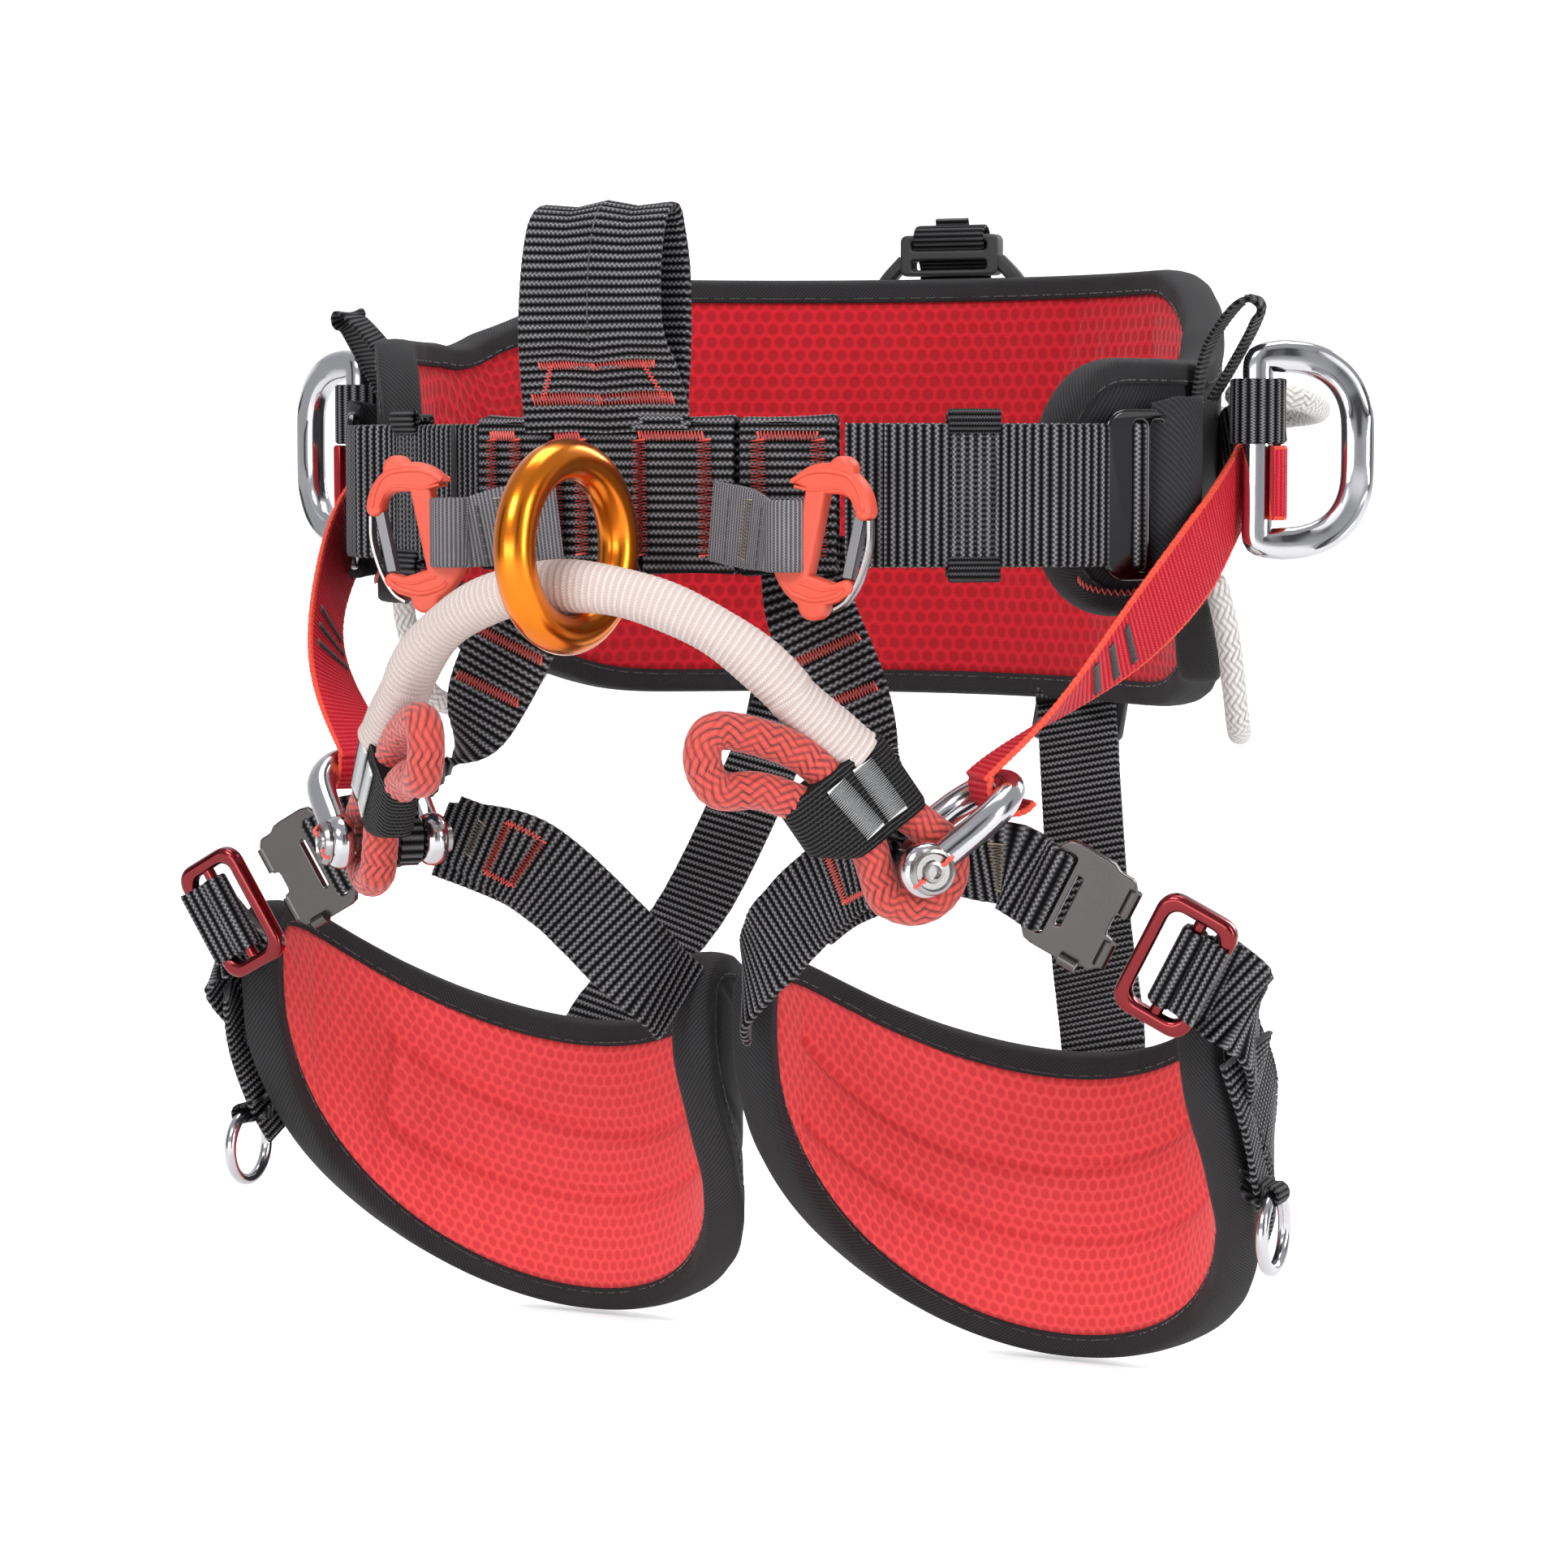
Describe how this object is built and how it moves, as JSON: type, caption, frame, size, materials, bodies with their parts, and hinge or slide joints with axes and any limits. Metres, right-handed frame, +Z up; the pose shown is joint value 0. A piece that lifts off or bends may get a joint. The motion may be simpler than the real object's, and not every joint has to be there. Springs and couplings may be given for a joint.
{
  "type": "tree climbing saddle",
  "caption": "Arborist work-positioning saddle: padded waist belt and leg loops, side rings, and a rope bridge with a sliding ring slung between two shackles.",
  "frame": {"origin": "middle of the whole saddle's box", "axes": "+X to the wearer's left, +Y to the wearer's back, +Z up"},
  "size_m": [0.4018, 0.3482, 0.3902],
  "materials": {
    "foam": "black foam under woven cover",
    "belt_mesh": "red spacer mesh",
    "leg_mesh": "coral red spacer mesh",
    "binding": "black woven edge tape",
    "black_webbing": "black ribbed polyester webbing",
    "red_webbing": "red woven webbing",
    "grey_webbing": "grey ribbed webbing",
    "red_rope": "braided rope sheath",
    "white_sleeve": "ribbed off-white sleeve",
    "gear_cord": "light grey braided cord",
    "orange_anodised": "bright orange anodised",
    "red_anodised": "dark red anodised",
    "polished_steel": "polished stainless steel",
    "satin_steel": "satin stainless steel",
    "black_steel": "gloss black coated steel",
    "salmon_plastic": "salmon moulded plastic",
    "black_plastic": "black moulded plastic"
  },
  "bodies": {
    "saddle": {"waist_pad_core": "foam", "waist_pad_lining": "belt_mesh", "waist_pad_binding": "binding", "back_webbing": "black_webbing", "back_adjuster": "black_plastic", "ventral_block": "black_webbing", "waist_strap_left": "black_webbing", "waist_strap_right": "black_webbing", "waist_buckle_left": "black_steel", "waist_buckle_right": "black_steel", "riser_strap_left": "black_webbing", "riser_strap_right": "black_webbing", "side_strap_left": "red_webbing", "side_strap_right": "red_webbing", "shackle_bow_left": "polished_steel", "shackle_bow_right": "polished_steel", "clip_tab_left": "grey_webbing", "clip_tab_right": "grey_webbing", "gear_loop_front_left": "gear_cord", "gear_loop_front_right": "gear_cord", "gear_loop_rear_left": "gear_cord", "gear_loop_rear_right": "gear_cord", "hang_loop_left": "black_webbing", "hang_loop_right": "black_webbing"},
    "bridge": {"bridge_rope": "red_rope", "bridge_sleeve": "white_sleeve", "rope_cover_left": "black_webbing", "rope_cover_right": "black_webbing"},
    "ring": {"bridge_ring": "orange_anodised"},
    "chest_webbing": {"chest_loop": "black_webbing"},
    "side_ring_left": {"side_d_ring_left": "polished_steel"},
    "keeper_left": {"strap_keeper_left": "black_webbing"},
    "pin_left": {"shackle_pin_left": "satin_steel"},
    "clip_left": {"accessory_clip_left": "salmon_plastic"},
    "gate_left": {"clip_gate_left": "satin_steel"},
    "leg_loop_left": {"leg_pad_core_left": "foam", "leg_pad_lining_left": "leg_mesh", "leg_pad_binding_left": "binding", "leg_front_strap_left": "black_webbing", "leg_inner_strap_left": "black_webbing", "leg_outer_strap_left": "black_webbing", "rear_strap_left": "black_webbing", "buckle_plate_left": "satin_steel", "buckle_frame_left": "red_anodised"},
    "tool_ring_left": {"leg_ring_left": "polished_steel"},
    "side_ring_right": {"side_d_ring_right": "polished_steel"},
    "keeper_right": {"strap_keeper_right": "black_webbing"},
    "pin_right": {"shackle_pin_right": "satin_steel"},
    "clip_right": {"accessory_clip_right": "salmon_plastic"},
    "gate_right": {"clip_gate_right": "satin_steel"},
    "leg_loop_right": {"leg_pad_core_right": "foam", "leg_pad_lining_right": "leg_mesh", "leg_pad_binding_right": "binding", "leg_front_strap_right": "black_webbing", "leg_inner_strap_right": "black_webbing", "leg_outer_strap_right": "black_webbing", "rear_strap_right": "black_webbing", "buckle_plate_right": "satin_steel", "buckle_frame_right": "red_anodised"},
    "tool_ring_right": {"leg_ring_right": "polished_steel"}
  },
  "joints": [
    {"name": "bridge_swing", "type": "hinge", "parent": "saddle", "child": "bridge", "pos_m": [0, -0.09365, -0.01088], "axis": [1, 0, 0], "range_deg": [-4, 8]},
    {"name": "ring_travel", "type": "hinge", "parent": "bridge", "child": "ring", "pos_m": [0, -0.10363, 0.00701], "axis": [0, 0.8732, 0.4874], "range_deg": [-20, 20]},
    {"name": "chest_loop_fold", "type": "hinge", "parent": "saddle", "child": "chest_webbing", "pos_m": [-0.011, -0.09065, 0.13112], "axis": [1, 0, 0], "range_deg": [-35, 35]},
    {"name": "side_ring_swing_left", "type": "hinge", "parent": "saddle", "child": "side_ring_left", "pos_m": [0.167, 0.02035, 0.11612], "axis": [0, 0, 1], "range_deg": [-75, 20]},
    {"name": "keeper_travel_left", "type": "hinge", "parent": "saddle", "child": "keeper_left", "pos_m": [0.02086, 0.05726, 0.10212], "axis": [0, 0, -1], "range_deg": [-1, 9]},
    {"name": "pin_withdraw_left", "type": "slide", "parent": "saddle", "child": "pin_left", "axis": [0.7071, -0.7071, 0], "range_m": [0, 0.034]},
    {"name": "clip_swing_left", "type": "hinge", "parent": "saddle", "child": "clip_left", "pos_m": [0.06254, -0.10773, 0.08912], "axis": [0, 0, -1], "range_deg": [-12, 60]},
    {"name": "gate_open_left", "type": "hinge", "parent": "clip_left", "child": "gate_left", "pos_m": [0.09254, -0.11013, 0.07372], "axis": [-0.0797, -0.9968, 0], "range_deg": [0, 17]},
    {"name": "leg_spread_left", "type": "hinge", "parent": "saddle", "child": "leg_loop_left", "pos_m": [0.096, -0.07465, -0.00988], "axis": [0.1647, -0.9782, -0.1262], "range_deg": [0, 5.5]},
    {"name": "tool_ring_lift_left", "type": "hinge", "parent": "leg_loop_left", "child": "tool_ring_left", "pos_m": [0.189, -0.02465, -0.11788], "axis": [0, -1, 0], "range_deg": [0, 80]},
    {"name": "side_ring_swing_right", "type": "hinge", "parent": "saddle", "child": "side_ring_right", "pos_m": [-0.167, 0.02035, 0.11612], "axis": [0, 0, -1], "range_deg": [-75, 20]},
    {"name": "keeper_travel_right", "type": "hinge", "parent": "saddle", "child": "keeper_right", "pos_m": [-0.02086, 0.05726, 0.10212], "axis": [0, 0, 1], "range_deg": [-1, 9]},
    {"name": "pin_withdraw_right", "type": "slide", "parent": "saddle", "child": "pin_right", "axis": [-0.7071, -0.7071, 0], "range_m": [0, 0.034]},
    {"name": "clip_swing_right", "type": "hinge", "parent": "saddle", "child": "clip_right", "pos_m": [-0.06254, -0.10773, 0.08912], "axis": [0, 0, 1], "range_deg": [-12, 60]},
    {"name": "gate_open_right", "type": "hinge", "parent": "clip_right", "child": "gate_right", "pos_m": [-0.09254, -0.11013, 0.07372], "axis": [-0.0797, 0.9968, 0], "range_deg": [0, 17]},
    {"name": "leg_spread_right", "type": "hinge", "parent": "saddle", "child": "leg_loop_right", "pos_m": [-0.096, -0.07465, -0.00988], "axis": [0.1647, 0.9782, 0.1262], "range_deg": [0, 5.5]},
    {"name": "tool_ring_lift_right", "type": "hinge", "parent": "leg_loop_right", "child": "tool_ring_right", "pos_m": [-0.189, -0.02465, -0.11788], "axis": [0, 1, 0], "range_deg": [0, 80]}
  ]
}
